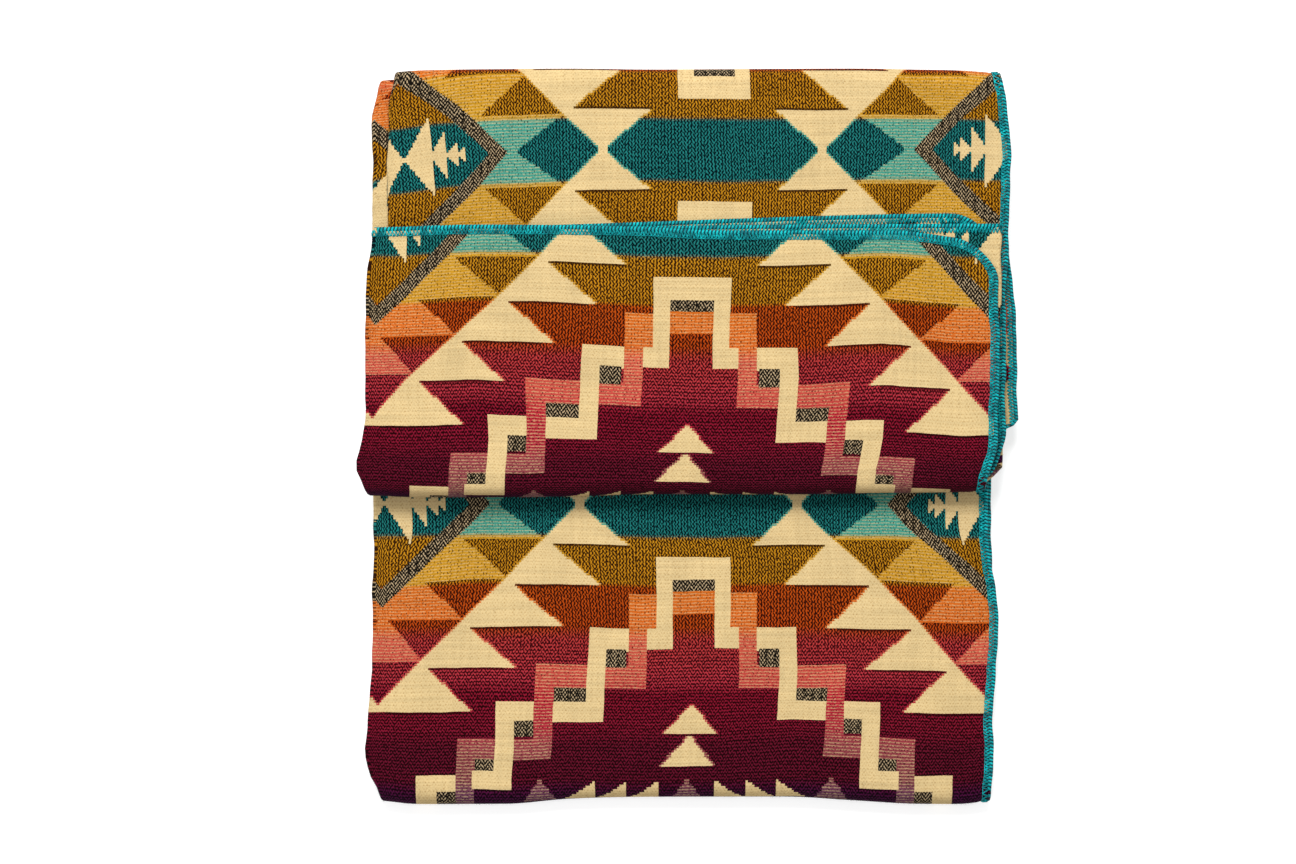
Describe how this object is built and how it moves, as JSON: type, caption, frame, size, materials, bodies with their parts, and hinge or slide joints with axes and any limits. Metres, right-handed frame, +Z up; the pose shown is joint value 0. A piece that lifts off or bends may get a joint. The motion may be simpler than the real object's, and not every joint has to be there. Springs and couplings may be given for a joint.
{
  "type": "folded blanket",
  "caption": "Woven alpaca blanket, folded back and forth into a flat rectangular pack, with an overlocked edge all round.",
  "frame": {"origin": "centre of the footprint, on the surface that the blanket rests on", "axes": "+Z up out of the pack, +Y along its long side away from the viewer, +X to the right"},
  "size_m": [0.6116, 0.6827, 0.0569],
  "materials": {
    "woven_cloth": "brushed jacquard weave in warm bands with teal",
    "overlock_edging": "dense teal overlock thread"
  },
  "bodies": {
    "root": {"woven_cloth": "woven_cloth", "overlock_edging": "overlock_edging"}
  },
  "joints": []
}
